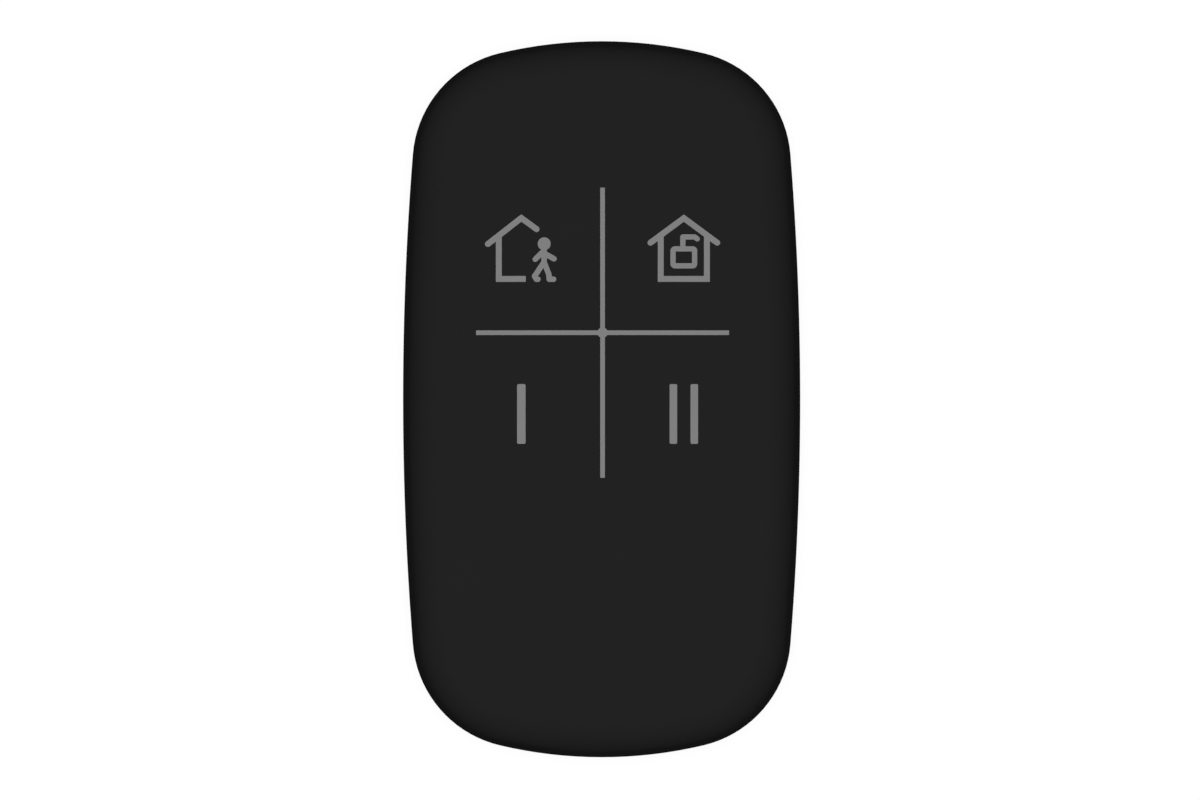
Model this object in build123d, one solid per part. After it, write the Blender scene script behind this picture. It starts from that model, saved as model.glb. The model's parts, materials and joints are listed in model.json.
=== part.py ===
from build123d import *
from math import asin, degrees, sqrt
import os

# An alarm key fob lying on its back. Millimetres, +Z out of the face, +Y to the top end.
# The origin is on the back face, in the middle of the outline.

# Driving dimensions of the outline, a closed row of tangent arcs
body_length = 62.0
body_width = 34.4
side_radius = 266.0
end_radius = 38.3
corner_radius = 9.8

# Stack of pieces from the back face to the top of the skin
floor_thickness = 1.4
pad_thickness = 0.3
cell_height = 3.2
contact_space = 0.7
board_thickness = 0.8
switch_height = 1.5
plunger_length = 1.5
plate_thickness = 1.2
skin_thickness = 1.4
cell_bottom = floor_thickness + pad_thickness
cell_top = cell_bottom + cell_height
board_bottom = cell_top + contact_space
board_top = board_bottom + board_thickness
stem_top = board_top + switch_height
plate_bottom = stem_top + plunger_length
skin_seat = plate_bottom + plate_thickness
body_height = skin_seat + skin_thickness

# Outer form: a crowned face, walls drafted both ways from the seam, and rolled edges
seam_height = 4.8
crown_across = 230.0
crown_along = 700.0
face_draft = 7.0
back_draft = 5.0
face_round = 3.2
back_round = 3.0
overrun = 1.0

# Walls, counted inwards from the outline
skin_side = 0.8
bond_gap = 0.05
frame_wall = 0.9
lip_gap = 0.1
lip_wall = 0.65
lip_height = 1.0
board_gap = 0.3
core_round = 2.9
frame_inset = skin_side + bond_gap
cavity_inset = frame_inset + frame_wall
lip_inset = cavity_inset + lip_gap
rear_inset = lip_inset + lip_wall
board_inset = rear_inset + board_gap
seam_gap = 0.25
seam_depth = 0.35

# Keys, set around the middle of the cross on the face
cross_end_margin = 25.27
key_side_margin = 3.9
key_pitch_y = 14.4
frame_web = 1.4
window_corner = 2.0
key_gap = 0.25
key_travel = 0.3
plunger_diameter = 3.0
rib_width = 0.8
rib_height = 0.7
rib_margin = 1.0
groove_lap = 0.3
groove_depth = 0.45
cross_y = body_length / 2 - cross_end_margin
window_width = body_width / 2 - key_side_margin - frame_web / 2
window_length = key_pitch_y - frame_web
key_pitch_x = window_width + frame_web

# Grey marks, let into the skin
mark_depth = 0.12
mark_shift = 0.08
cross_line = 0.4
cross_width = 21.8
cross_length = 25.0
cross_knot = 1.25
icon_size = 5.9
icon_rise = 7.36
icon_line_share = 0.086
bar_drop = 7.0
bar_length = 5.15
single_bar_width = 0.73
double_bar_width = 0.65
double_bar_pitch = 1.8
bar_corner_share = 0.2

# Key switches
switch_size = 5.2
switch_floor = 0.3
switch_pocket = 3.8
dome_diameter = 3.2
dome_flat_height = 0.12
dome_thickness = 0.08
dome_gap = 0.03
flange_diameter = 3.2
flange_thickness = 0.25
stem_diameter = 2.0
stem_gap = 0.15
cover_thickness = 0.15
cover_tab_width = 2.4
cover_tab_height = 0.7
dome_height = dome_flat_height + key_travel
switch_base_height = switch_floor + dome_height + dome_gap + flange_thickness

# Case screws, set in from the outline
screw_side_margin = 7.0
screw_end_margin = 8.4
screw_diameter = 1.7
screw_head_diameter = 3.2
screw_head_height = 1.1
screw_recess = 0.5
screw_reach = 2.4
thread_gap = 0.05
screw_clearance = 0.25
head_gap = 0.2
pillar_diameter = 4.4
boss_diameter = 4.0
drive_width = 0.45
drive_length = 1.9
drive_depth = 0.5
screw_x = body_width / 2 - screw_side_margin
screw_y = body_length / 2 - screw_end_margin

# Coin cell and its bay
cell_diameter = 20.0
can_wall = 0.3
can_height = 2.9
can_round = 0.4
seal_width = 0.75
seal_height = 2.5
cell_gap = 0.05
cell_play = 0.7
bay_wall = 0.9

# Battery door, a capsule over the bay
door_recess = 0.2
door_gap = 0.15
door_ledge = 1.3
door_land = 2.8
door_chamfer = 0.3
seat_border = 1.2
seat_thickness = 1.0
pad_diameter = 14.0
post_diameter = 4.6
post_play = 0.4
door_screw_diameter = 1.6
door_head_diameter = 3.0
door_head_height = 0.9
door_head_recess = 0.1
door_screw_reach = 3.4
post_cover = 0.6
pry_radius = 2.4
door_thickness = floor_thickness - door_recess
door_width = cell_diameter + 2 * (cell_play + door_ledge)
post_offset = cell_diameter / 2 + post_play + post_diameter / 2
door_length = 2 * (post_offset + post_diameter / 2 + seam_depth)
door_end_drop = sqrt((door_width / 2 + door_land) ** 2 - screw_x**2)
cell_y = door_end_drop + (door_length - door_width) / 2 - screw_y

# Pocket and steel bar for a key ring or a lanyard
pocket_margin = 6.6
pocket_length = 9.0
pocket_width = 5.6
pocket_depth = 3.4
pocket_corner = 1.2
pocket_wall = 1.2
bar_diameter = 1.5
bar_recess = 0.45
bar_seat = 1.4
bar_gap = 0.02
pocket_y = body_length / 2 - pocket_margin

# Pieces on the board
board_hole_gap = 0.35
chip_size = 5.0
chip_height = 0.9
chip_place_share = 0.47
crystal_length = 3.2
crystal_width = 2.5
crystal_height = 0.7
crystal_x = 6.0
resistor_length = 1.0
resistor_width = 0.5
resistor_height = 0.35
capacitor_length = 1.6
capacitor_width = 0.8
capacitor_height = 0.8
passive_count = 5
passive_pitch = 2.2
resistor_place_share = 0.72
capacitor_place_share = 0.25
capacitor_spread = 2.4
lamp_margin = 8.6
lamp_length = 1.6
lamp_width = 0.8
lamp_height = 0.6
guide_diameter = 2.2
guide_gap = 0.1
guide_lift = 0.3
guide_flange_diameter = 3.4
guide_flange_thickness = 0.5
aerial_margin = 5.2
aerial_span = 10.8
aerial_height = 2.2
aerial_strip = 0.4
aerial_width = 1.2
row_start = cross_y - (key_pitch_y + switch_size) / 2
row_space = row_start + body_length / 2 - board_inset
chip_y = row_start - chip_place_share * row_space
resistor_y = row_start - resistor_place_share * row_space
capacitor_y = row_start - capacitor_place_share * row_space
lamp_y = body_length / 2 - lamp_margin
aerial_y = body_length / 2 - aerial_margin

# Cell contacts, bent from strip
strip_thickness = 0.2
positive_width = 4.0
positive_foot = 2.2
positive_drop = 2.9
positive_bow = 0.16
negative_width = 3.0
negative_foot = 3.0
negative_run = 3.6
negative_tip = 1.6


def corner_centre():
    """Centre of the corner arc that touches the side arc and the end arc."""
    side = Vector(body_width / 2 - side_radius, 0)
    end = Vector(0, body_length / 2 - end_radius)
    from_side = side_radius - corner_radius
    from_end = end_radius - corner_radius
    span = (end - side).length
    along = (from_side**2 - from_end**2 + span**2) / (2 * span)
    away = sqrt(from_side**2 - along**2)
    run = (end - side).normalized()
    return side + run * along + Vector(-run.Y, run.X) * away


def outline(inset):
    """Face of the fob's outline, drawn in by the inset: eight arcs on fixed centres."""
    side = Vector(body_width / 2 - side_radius, 0)
    end = Vector(0, body_length / 2 - end_radius)
    centre = corner_centre()
    to_side = (centre - side).normalized()
    to_end = (centre - end).normalized()
    reach = corner_radius - inset
    side_tangent = centre + to_side * reach
    end_tangent = centre + to_end * reach
    middle = centre + (to_side + to_end).normalized() * reach
    half_width = body_width / 2 - inset
    half_length = body_length / 2 - inset

    def flip(point, sign_x, sign_y):
        return Vector(point.X * sign_x, point.Y * sign_y)

    arcs = []
    for sign in (1, -1):
        arcs.append(ThreePointArc(
            flip(side_tangent, sign, -1), Vector(sign * half_width, 0), flip(side_tangent, sign, 1)))
        arcs.append(ThreePointArc(
            flip(end_tangent, -1, sign), Vector(0, sign * half_length), flip(end_tangent, 1, sign)))
        for other in (1, -1):
            arcs.append(ThreePointArc(
                flip(side_tangent, sign, other), flip(middle, sign, other), flip(end_tangent, sign, other)))
    return make_face(Curve() + arcs)


def slab(face, low, high):
    """A face pushed up from one height to another."""
    return extrude(Pos(0, 0, low) * face, high - low)


def rod(diameter, low, high):
    """A round bar standing on the origin's axis, from one height to another."""
    return slab(Circle(diameter / 2), low, high)


def rounded_slab(inset, low, high, rounding):
    """A slab of the outline with its upper edge rounded."""
    block = slab(outline(inset), low, high)
    return fillet(block.faces().sort_by(Axis.Z)[-1].edges(), rounding)


def band(points, width):
    """A flat strip of even width along a few points, mitred at its corners."""
    points = [Vector(*point) for point in points]
    left = []
    right = []
    for number, point in enumerate(points):
        before = points[max(number - 1, 0)]
        after = points[min(number + 1, len(points) - 1)]
        into = (point - before).normalized() if number else (after - point).normalized()
        out = (after - point).normalized() if number < len(points) - 1 else into
        normal = Vector(-into.Y, into.X)
        mitre = normal + Vector(-out.Y, out.X)
        step = mitre * (width / mitre.dot(normal) / 2)
        left.append(point + step)
        right.append(point - step)
    return make_face(Polyline(*left, *reversed(right), close=True))


def crown_height(x, y):
    """Height of the crowned face over a place."""
    across = crown_along - crown_across + sqrt(crown_across**2 - x**2)
    return body_height - crown_along + sqrt(across**2 - y**2)


def under_crown():
    """Everything below the crowned face: an arc across, swung along a longer arc."""
    half = body_width / 2 + overrun
    edge = body_height - crown_across + sqrt(crown_across**2 - half**2)
    arch = ThreePointArc((-half, 0, edge), (0, 0, body_height), (half, 0, edge))
    foot = Polyline((-half, 0, edge), (-half, 0, -overrun), (half, 0, -overrun), (half, 0, edge))
    swing = Axis((0, 0, body_height - crown_along), (1, 0, 0))
    half_angle = degrees(asin((body_length / 2 + overrun) / (crown_along - body_height)))
    arched = revolve(make_face(Curve() + [arch, foot]), axis=swing, revolution_arc=2 * half_angle)
    return arched.rotate(swing, -half_angle)


def upper_blank():
    """Outer form above the seam."""
    seam = Pos(0, 0, seam_height) * outline(0)
    block = extrude(seam, body_height - seam_height + overrun, taper=face_draft) & under_crown()
    return fillet(block.faces().sort_by(Axis.Z)[-1].edges(), face_round)


def lower_blank():
    """Outer form below the seam, down to the flat back."""
    seam = Pos(0, 0, seam_height) * outline(0)
    block = extrude(seam, seam_height, dir=(0, 0, -1), taper=back_draft)
    return fillet(block.faces().sort_by(Axis.Z)[0].edges(), back_round)


def capsule(inset):
    """Plan of the battery door, drawn in by the inset, over the cell."""
    return Pos(0, cell_y) * SlotOverall(door_length - 2 * inset, door_width - 2 * inset, rotation=90)


def key_window(growth):
    """Plan of one key window about its own middle, grown on all sides."""
    return RectangleRounded(
        window_width + 2 * growth, window_length + 2 * growth, window_corner + growth)


key_places = {
    "away": (-key_pitch_x / 2, cross_y + key_pitch_y / 2),
    "disarm": (key_pitch_x / 2, cross_y + key_pitch_y / 2),
    "one": (-key_pitch_x / 2, cross_y - key_pitch_y / 2),
    "two": (key_pitch_x / 2, cross_y - key_pitch_y / 2),
}
screw_places = [(x, y) for x in (-screw_x, screw_x) for y in (-screw_y, screw_y)]
post_places = [(0, cell_y - post_offset), (0, cell_y + post_offset)]


# Plans of the marks

def icon_band(shares, line_share):
    """A strip of an icon, its points and width given as shares of the icon's size."""
    return band([(x * icon_size, y * icon_size) for x, y in shares], line_share * icon_size)


def icon_stroke(shares, line_share):
    """A line of an icon with round ends and joints."""
    stroke = Sketch()
    for start, end in zip(shares, shares[1:]):
        stroke += icon_band([start, end], line_share)
    for x, y in shares:
        stroke += Pos(x * icon_size, y * icon_size) * Circle(line_share * icon_size / 2)
    return stroke


def icon_roof(shares):
    """A roof of an icon, mitred at its ridge and rounded at its eaves."""
    roof = icon_band(shares, icon_line_share)
    for x, y in (shares[0], shares[-1]):
        roof += Pos(x * icon_size, y * icon_size) * Circle(icon_line_share * icon_size / 2)
    return roof


def open_house():
    """House with a figure walking out of its open side."""
    roof_shares = [(-0.488, 0.048), (0.0, 0.428), (0.222, 0.265)]
    wall_shares = [(-0.329, 0.165), (-0.329, -0.462), (0.065, -0.462)]
    trunk_shares = [(0.333, 0.0), (0.333, -0.235)]
    rear_arm_shares = [(0.31, -0.07), (0.204, -0.175)]
    front_arm_shares = [(0.335, -0.09), (0.477, -0.168)]
    rear_leg_shares = [(0.327, -0.224), (0.194, -0.422), (0.22, -0.466), (0.242, -0.466)]
    front_leg_shares = [(0.335, -0.224), (0.404, -0.4), (0.407, -0.466), (0.47, -0.466)]
    head_share = (0.334, 0.051)
    head_radius_share = 0.095
    limb_line_share = 0.08
    icon = icon_roof(roof_shares) + icon_band(wall_shares, icon_line_share)
    for limb in (trunk_shares, rear_arm_shares, front_arm_shares, rear_leg_shares, front_leg_shares):
        icon += icon_stroke(limb, limb_line_share)
    head = Circle(head_radius_share * icon_size)
    return icon + Pos(head_share[0] * icon_size, head_share[1] * icon_size) * head


def locked_house():
    """House with an open padlock in it."""
    roof_shares = [(-0.487, 0.067), (0, 0.426), (0.487, 0.067)]
    wall_shares = [(-0.337, 0.165), (-0.337, -0.462), (0.337, -0.462), (0.337, 0.165)]
    shackle_shares = [(-0.014, -0.01), (-0.014, 0.151), (0.16, 0.151), (0.195, 0.123)]
    lock_width_share = 0.392
    lock_height_share = 0.325
    lock_corner_share = 0.068
    lock_y_share = -0.147
    lock_line_share = 0.077
    outer = RectangleRounded(
        lock_width_share * icon_size, lock_height_share * icon_size, lock_corner_share * icon_size)
    inner = Rectangle(
        (lock_width_share - 2 * lock_line_share) * icon_size,
        (lock_height_share - 2 * lock_line_share) * icon_size)
    icon = icon_roof(roof_shares) + icon_band(wall_shares, icon_line_share)
    icon += Pos(0, lock_y_share * icon_size) * (outer - inner)
    return icon + icon_stroke(shackle_shares, lock_line_share)


def upright_bar(width):
    """One bar of a numeral, with eased corners."""
    return RectangleRounded(width, bar_length, bar_corner_share * width)


def cross():
    """The thin cross between the keys, with a small knot in its middle."""
    lines = Rectangle(cross_width, cross_line) + Rectangle(cross_line, cross_length)
    knot = Rot(0, 0, 45) * Rectangle(cross_knot / sqrt(2), cross_knot / sqrt(2))
    return Pos(mark_shift, cross_y) * (lines + knot)


def mark_plans():
    """Plan of each grey mark on the face."""
    left = mark_shift - key_pitch_x / 2
    right = mark_shift + key_pitch_x / 2
    upper = cross_y + icon_rise
    lower = cross_y - bar_drop
    pair = Sketch()
    for side in (-1, 1):
        pair += Pos(right + side * double_bar_pitch / 2, lower) * upright_bar(double_bar_width)
    return {
        "mark_away": Pos(left, upper) * open_house(),
        "mark_disarm": Pos(right, upper) * locked_house(),
        "mark_one": Pos(left, lower) * upright_bar(single_bar_width),
        "mark_two": pair,
        "cross_mark": cross(),
    }


def mark_floor(plan):
    """Height of the flat floor under a mark, a little below the lowest face over it."""
    return min(crown_height(corner.X, corner.Y) for corner in plan.vertices()) - mark_depth


# Face side

def make_marks(blank):
    """Marks flush with the crowned face."""
    marks = {}
    for name, plan in mark_plans().items():
        flush = slab(plan, mark_floor(plan), body_height + overrun) & blank
        marks[name] = Part() + flush.solids()
    return marks


def make_skin(marks, blank):
    """Soft skin: the outer form less its core, with flex grooves and mark recesses."""
    skin = blank - rounded_slab(skin_side, seam_height, skin_seat, core_round)
    groove = key_window(groove_lap) - key_window(-key_gap - groove_lap)
    for x, y in key_places.values():
        skin -= slab(Pos(x, y) * groove, skin_seat - overrun, skin_seat + groove_depth)
    for mark in marks.values():
        skin -= mark
    return skin


def make_frame():
    """Rigid frame under the skin: a cap with key windows, screw bosses and a lamp hole."""
    outer = rounded_slab(frame_inset, seam_height, skin_seat, core_round - bond_gap)
    cavity = rounded_slab(
        cavity_inset, seam_height - overrun, plate_bottom, core_round - bond_gap - frame_wall)
    frame = outer - cavity
    for x, y in screw_places:
        frame += Pos(x, y) * rod(boss_diameter, board_top, skin_seat - plate_thickness / 2)
    for x, y in screw_places:
        pilot_top = board_top + screw_reach + thread_gap
        pilot = rod(screw_diameter + 2 * thread_gap, board_top - overrun, pilot_top)
        frame -= Pos(x, y) * pilot
    for x, y in key_places.values():
        frame -= slab(Pos(x, y) * key_window(0), plate_bottom - overrun, skin_seat + overrun)
    lamp_hole = rod(guide_diameter + 2 * guide_gap, plate_bottom - overrun, skin_seat + overrun)
    return frame - Pos(0, lamp_y) * lamp_hole


def make_key(place):
    """Rigid key plate with stiffening ribs and a plunger that meets the switch stem."""
    plate = slab(key_window(-key_gap), plate_bottom, skin_seat)
    long_rib = Rectangle(rib_width, window_length - 2 * (key_gap + rib_margin))
    cross_rib = Rectangle(window_width - 2 * (key_gap + rib_margin), rib_width)
    ribs = slab(long_rib + cross_rib, plate_bottom - rib_height, plate_bottom)
    return Pos(*place) * (plate + ribs + rod(plunger_diameter, stem_top, plate_bottom))


def make_light_guide():
    """Clear post from just above the lamp to the skin, with a flange under the frame."""
    post = rod(guide_diameter, board_top + lamp_height + guide_lift, skin_seat)
    flange = rod(guide_flange_diameter, plate_bottom - guide_flange_thickness, plate_bottom)
    return Pos(0, lamp_y) * (post + flange)


# Board and what it carries

def make_board():
    """Circuit board, clamped between the pillars and the bosses at four holes."""
    board = slab(outline(board_inset), board_bottom, board_top)
    for x, y in screw_places:
        hole = rod(screw_diameter + 2 * board_hole_gap, board_bottom - overrun, board_top + overrun)
        board -= Pos(x, y) * hole
    return board


def on_board(length, width, height):
    """A chip-like block standing on the board."""
    return slab(Rectangle(length, width), board_top, board_top + height)


def make_switch(place):
    """Base, snap dome, sliding stem and metal cover of one key switch."""
    floor = board_top + switch_floor
    base_top = board_top + switch_base_height
    half = switch_size / 2
    base = on_board(switch_size, switch_size, switch_base_height)
    base -= rod(switch_pocket, floor, base_top + overrun)
    bulge = ((dome_diameter / 2) ** 2 + dome_height**2) / (2 * dome_height)
    ball = Sphere(bulge) - Sphere(bulge - dome_thickness)
    dome = Pos(0, 0, floor + dome_height - bulge) * ball & rod(dome_diameter, floor, base_top)
    stem = rod(flange_diameter, base_top - flange_thickness, base_top)
    stem += rod(stem_diameter, base_top, stem_top)
    cover = slab(Rectangle(switch_size, switch_size), base_top, base_top + cover_thickness)
    tab = Rectangle(cover_thickness, cover_tab_width)
    tab = slab(tab, base_top - cover_tab_height, base_top + cover_thickness)
    for side in (-1, 1):
        cover += Pos(side * (half + cover_thickness / 2), 0) * tab
    cover -= rod(stem_diameter + 2 * stem_gap, base_top - overrun, stem_top)
    pieces = {"switch_base": base, "switch_dome": dome, "switch_stem": stem, "switch_cover": cover}
    return {name: Pos(*place) * piece for name, piece in pieces.items()}


def make_passives(length, width, height, y, spread):
    """A row of small two-ended parts across the board."""
    row = Part()
    for number in range(passive_count):
        x = (number - (passive_count - 1) / 2) * (passive_pitch + spread)
        row += Pos(x, y) * on_board(length, width, height)
    return row


def make_aerial():
    """Formed strip that stands on the board at its top end."""
    half = aerial_span / 2
    top = board_top + aerial_height
    path = [(-half, board_top), (-half, top), (half, top), (half, board_top)]
    strip = Plane.XZ * band(path, aerial_strip)
    return Pos(0, aerial_y) * extrude(strip, aerial_width / 2, both=True)


def make_positive_contact():
    """Strip from the underside of the board down to the side of the can."""
    rest = board_bottom - strip_thickness / 2
    leg = cell_diameter / 2 + cell_gap / 2 + strip_thickness / 2 + positive_bow
    path = [
        (leg - positive_foot, rest),
        (leg, rest),
        (leg, rest - positive_drop / 3),
        (leg - positive_bow, rest - positive_drop * 2 / 3),
        (leg, rest - positive_drop),
    ]
    strip = Plane.XZ * band(path, strip_thickness)
    return Pos(0, cell_y) * extrude(strip, positive_width / 2, both=True)


def make_negative_contact():
    """Leaf from the underside of the board down to the cap."""
    rest = board_bottom - strip_thickness / 2
    tip = cell_top + strip_thickness / 2
    start = (negative_foot + negative_run) / 2
    path = [
        (start + negative_foot / 2, rest),
        (start - negative_foot / 2, rest),
        (start - negative_foot / 2 - negative_run, tip),
        (start - negative_foot / 2 - negative_run - negative_tip, tip),
    ]
    strip = Plane.YZ * band(path, strip_thickness)
    return Pos(0, cell_y) * extrude(strip, negative_width / 2, both=True)


# Coin cell

def make_cell():
    """Can, sealing ring and cap, each just clear of the next around its rim."""
    radius = cell_diameter / 2
    can = rod(cell_diameter, cell_bottom, cell_bottom + can_height)
    can = fillet(can.edges().group_by(Axis.Z)[0], can_round)
    can -= rod(cell_diameter - 2 * can_wall, cell_bottom + can_wall, cell_top)
    seal_outer = 2 * (radius - can_wall - cell_gap)
    seal_inner = seal_outer - 2 * seal_width
    seal_low = cell_bottom + can_wall
    seal = rod(seal_outer, seal_low, seal_low + seal_height) - rod(seal_inner, seal_low, cell_top)
    cap = rod(seal_inner - 2 * cell_gap, seal_low, cell_top)
    cap = fillet(cap.edges().group_by(Axis.Z)[-1], can_wall)
    pieces = {"cell_can": can, "cell_seal": seal, "cell_cap": cap}
    return {name: Pos(0, cell_y) * piece for name, piece in pieces.items()}


# Back side

def make_rear_shell():
    """Back half of the case: floor, lip, pillars, cell bay, door recess and ring pocket."""
    shell = lower_blank() - slab(outline(rear_inset), floor_thickness, seam_height + overrun)
    shell -= slab(outline(-overrun) - outline(seam_depth), seam_height - seam_gap, seam_height + overrun)
    shell += slab(outline(lip_inset) - outline(rear_inset), seam_height, seam_height + lip_height)
    for x, y in screw_places:
        shell += Pos(x, y) * rod(pillar_diameter, floor_thickness / 2, board_bottom)
    shell += slab(capsule(-seat_border), floor_thickness / 2, floor_thickness + seat_thickness)
    shell += slab(capsule(door_ledge - bay_wall), floor_thickness, cell_top)
    shell -= slab(capsule(door_ledge), floor_thickness - overrun, cell_top + overrun)
    shell -= slab(capsule(0), -overrun, floor_thickness)
    for x, y in post_places:
        post = rod(post_diameter, floor_thickness, floor_thickness + door_screw_reach + post_cover)
        hole = rod(door_screw_diameter + 2 * thread_gap, 0, floor_thickness + door_screw_reach + thread_gap)
        shell += Pos(x, y) * post
        shell -= Pos(x, y) * hole
    shell = add_ring_pocket(shell)
    for x, y in screw_places:
        shaft = rod(screw_diameter + 2 * screw_clearance, -overrun, board_bottom + overrun)
        head = rod(screw_head_diameter + 2 * head_gap, -overrun, screw_recess + screw_head_height)
        shell -= Pos(x, y) * (shaft + head)
    pry = Pos(door_width / 2, cell_y) * rod(2 * pry_radius, -overrun, door_recess + door_thickness / 2)
    return shell - pry


def add_ring_pocket(shell):
    """Adds the walled pocket at the top end, and the seats of its steel bar."""
    outer_length = pocket_length + 2 * (bar_seat + pocket_wall / 2)
    outer_width = pocket_width + 2 * pocket_wall
    wall = RectangleRounded(outer_length, outer_width, pocket_corner)
    pocket = RectangleRounded(pocket_length, pocket_width, pocket_corner)
    shell += slab(Pos(0, pocket_y) * wall, floor_thickness / 2, pocket_depth + pocket_wall)
    shell -= slab(Pos(0, pocket_y) * pocket, -overrun, pocket_depth)
    return shell - ring_bar(bar_gap)


def ring_bar(growth):
    """Round bar across the pocket, let into both its end walls."""
    height = bar_recess + bar_diameter / 2
    length = pocket_length + 2 * (bar_seat + growth)
    bar = Rot(0, 90, 0) * Cylinder(bar_diameter / 2 + growth, length)
    return Pos(0, pocket_y, height) * bar


def drive_cross(low, depth):
    """Cross recess of a screw head, open downwards."""
    plan = Rectangle(drive_length, drive_width) + Rectangle(drive_width, drive_length)
    return slab(plan, low - overrun, low + depth)


def make_case_screws():
    """Four pan-head screws from the back, through the board, into the frame."""
    head_low = screw_recess
    head_high = screw_recess + screw_head_height
    head = rod(screw_head_diameter, head_low, head_high)
    head = fillet(head.edges().group_by(Axis.Z)[0], screw_head_height / 2)
    screw = head + rod(screw_diameter, head_high, board_top + screw_reach)
    screw -= drive_cross(head_low, drive_depth)
    return Part() + [Pos(x, y) * screw for x, y in screw_places]


def countersink(growth):
    """Conical head of a door screw, point up, grown by a clearance."""
    low = door_recess + door_head_recess
    wide = door_head_diameter / 2 + growth
    narrow = door_screw_diameter / 2 + growth
    return Pos(0, 0, low + door_head_height / 2) * Cone(wide, narrow, door_head_height)


def make_door():
    """Battery door: a capsule plate with two countersunk holes."""
    door = slab(capsule(door_gap), door_recess, floor_thickness)
    door = chamfer(door.edges().group_by(Axis.Z)[0], door_chamfer)
    shaft = rod(door_screw_diameter + 2 * thread_gap, 0, floor_thickness + overrun)
    mouth = rod(door_head_diameter + 2 * thread_gap, 0, door_recess + door_head_recess)
    for x, y in post_places:
        door -= Pos(x, y) * (shaft + mouth + countersink(thread_gap))
    return door


def make_door_screws():
    """Two countersunk screws of the battery door."""
    low = door_recess + door_head_recess
    shank = rod(door_screw_diameter, low + door_head_height, floor_thickness + door_screw_reach)
    screw = countersink(0) + shank - drive_cross(low, drive_depth)
    return Part() + [Pos(x, y) * screw for x, y in post_places]


def make_door_pad():
    """Foam disc between the door and the can."""
    return Pos(0, cell_y) * rod(pad_diameter, floor_thickness, cell_bottom)


def make_nodes():
    """Every piece of the fob by its node name."""
    blank = upper_blank()
    marks = make_marks(blank)
    nodes = {
        "face_skin": make_skin(marks, blank),
        "front_frame": make_frame(),
        "light_guide": make_light_guide(),
        "circuit_board": make_board(),
        "radio_chip": Pos(0, chip_y) * on_board(chip_size, chip_size, chip_height),
        "crystal": Pos(crystal_x, chip_y) * on_board(crystal_width, crystal_length, crystal_height),
        "resistors": make_passives(resistor_length, resistor_width, resistor_height, resistor_y, 0),
        "capacitors": make_passives(
            capacitor_length, capacitor_width, capacitor_height, capacitor_y, capacitor_spread),
        "signal_lamp": Pos(0, lamp_y) * on_board(lamp_length, lamp_width, lamp_height),
        "aerial": make_aerial(),
        "positive_contact": make_positive_contact(),
        "negative_contact": make_negative_contact(),
        "rear_shell": make_rear_shell(),
        "ring_bar": ring_bar(0),
        "case_screws": make_case_screws(),
        "battery_door": make_door(),
        "door_screws": make_door_screws(),
        "door_pad": make_door_pad(),
    }
    nodes.update(marks)
    nodes.update(make_cell())
    for key, place in key_places.items():
        nodes["key_" + key] = make_key(place)
        for piece, solid in make_switch(place).items():
            nodes[piece + "_" + key] = solid
    return nodes


os.makedirs("parts", exist_ok=True)
for node, solid in make_nodes().items():
    export_step(solid, "parts/" + node + ".step")
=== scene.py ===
import bmesh
import bpy
import json
import math
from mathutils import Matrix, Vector


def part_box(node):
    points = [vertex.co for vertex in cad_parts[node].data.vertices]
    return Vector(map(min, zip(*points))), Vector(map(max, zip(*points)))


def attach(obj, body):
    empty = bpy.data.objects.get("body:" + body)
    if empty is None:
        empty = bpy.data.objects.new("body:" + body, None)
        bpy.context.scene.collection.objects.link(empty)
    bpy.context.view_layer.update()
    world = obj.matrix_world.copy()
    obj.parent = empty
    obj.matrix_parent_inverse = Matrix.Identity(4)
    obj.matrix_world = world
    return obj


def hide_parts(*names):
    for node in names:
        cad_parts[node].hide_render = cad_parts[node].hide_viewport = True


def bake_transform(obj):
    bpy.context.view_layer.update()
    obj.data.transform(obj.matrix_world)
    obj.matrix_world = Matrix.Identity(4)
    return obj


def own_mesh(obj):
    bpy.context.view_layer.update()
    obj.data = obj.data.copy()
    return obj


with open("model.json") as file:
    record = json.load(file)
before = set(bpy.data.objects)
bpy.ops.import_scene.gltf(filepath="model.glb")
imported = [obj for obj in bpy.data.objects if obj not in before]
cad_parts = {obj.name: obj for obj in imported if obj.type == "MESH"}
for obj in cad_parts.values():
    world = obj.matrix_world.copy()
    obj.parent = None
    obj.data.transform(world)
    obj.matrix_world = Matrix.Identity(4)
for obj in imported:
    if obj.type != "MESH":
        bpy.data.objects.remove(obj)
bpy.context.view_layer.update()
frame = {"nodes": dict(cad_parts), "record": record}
mm = 0.001  # the frame is in metres, real sizes here are in millimetres
keyNames = ["away", "disarm", "one", "two"]


def selectNothing():
    if bpy.context.object and bpy.context.object.mode != "OBJECT":
        bpy.ops.object.mode_set(mode="OBJECT")
    bpy.ops.object.select_all(action="DESELECT")


def activate(piece):
    selectNothing()
    piece.select_set(True)
    bpy.context.view_layer.objects.active = piece


# Camera, straight above the face

cameraSetup = {
    "lens": 500.0,
    "sensor": 36.0,
    "pictureWidth": 1200,
    "mmPerPixel": 0.08657,
    "middle": (-0.142, -0.067),  # the fob sits a little right of and above the picture's middle
    "nearClip": 0.01,
    "farClip": 20,
}


def placeCamera(setup):
    width = setup["pictureWidth"] * setup["mmPerPixel"] * mm
    distance = width * setup["lens"] / setup["sensor"]
    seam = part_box("face_skin")[0].z
    x, y = setup["middle"]
    bpy.ops.object.camera_add(location=(x * mm, y * mm, seam + distance), rotation=(0, 0, 0))
    camera = bpy.context.object
    camera.data.lens = setup["lens"]
    camera.data.sensor_width = setup["sensor"]
    camera.data.clip_start = setup["nearClip"]
    camera.data.clip_end = setup["farClip"]
    bpy.context.scene.camera = camera


placeCamera(cameraSetup)
print("camera placed")


# Soft studio light and a pale floor

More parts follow.
